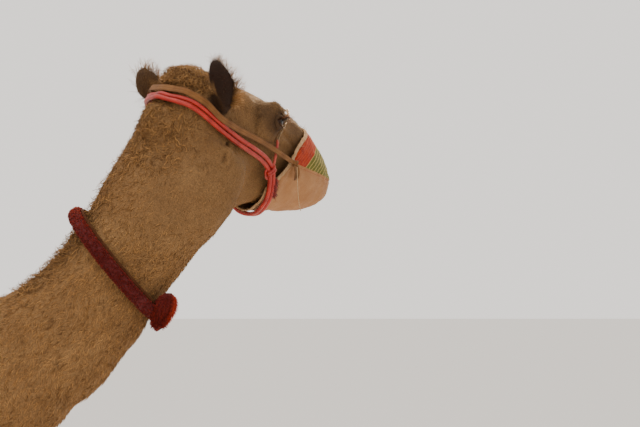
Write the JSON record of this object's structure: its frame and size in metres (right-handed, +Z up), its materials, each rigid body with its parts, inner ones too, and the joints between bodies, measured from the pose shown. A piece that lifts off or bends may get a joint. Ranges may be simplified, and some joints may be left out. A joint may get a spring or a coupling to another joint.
{
  "type": "dromedary camel",
  "caption": "Life-size still dromedary camel standing with its head turned, wearing a wool collar, rope halter and muzzle bag.",
  "frame": {"origin": "on the floor under the middle of the model's length and breadth", "axes": "+X forward along the back, +Y to the animal's left, +Z up"},
  "size_m": [2.524, 0.7564, 2.237],
  "materials": {
    "tan_coat": "short matt hair on the hide",
    "dark_coat": "longer dark brown hair",
    "horn": "dull horn",
    "eye": "wet gloss",
    "red_wool": "wool pile",
    "pink_rope": "smooth soft rope",
    "steel": "worn bright links",
    "webbing": "woven webbing",
    "canvas": "canvas with red and green bands",
    "string": "thin twine"
  },
  "bodies": {
    "root": {"trunk": "tan_coat", "neck": "tan_coat", "head": "tan_coat", "hump": "dark_coat", "tail": "dark_coat", "ear_right": "dark_coat", "ear_left": "dark_coat", "leg_fore_right": "tan_coat", "foot_fore_right": "tan_coat", "nail_fore_right_inner": "horn", "nail_fore_right_outer": "horn", "leg_fore_left": "tan_coat", "foot_fore_left": "tan_coat", "nail_fore_left_inner": "horn", "nail_fore_left_outer": "horn", "leg_hind_right": "tan_coat", "foot_hind_right": "tan_coat", "nail_hind_right_inner": "horn", "nail_hind_right_outer": "horn", "leg_hind_left": "tan_coat", "foot_hind_left": "tan_coat", "nail_hind_left_inner": "horn", "nail_hind_left_outer": "horn", "eye_right": "eye", "noseband_cord_right": "pink_rope", "halter_whipping_right": "pink_rope", "muzzle_knot_right": "webbing", "eye_left": "eye", "noseband_cord_left": "pink_rope", "halter_whipping_left": "pink_rope", "muzzle_knot_left": "webbing", "halter_rope_back": "pink_rope", "halter_rope_front": "pink_rope", "noseband_chain": "steel", "muzzle_strap": "webbing", "muzzle_bag": "canvas", "muzzle_string": "string", "collar": "red_wool", "collar_tassel": "red_wool"}
  },
  "joints": []
}
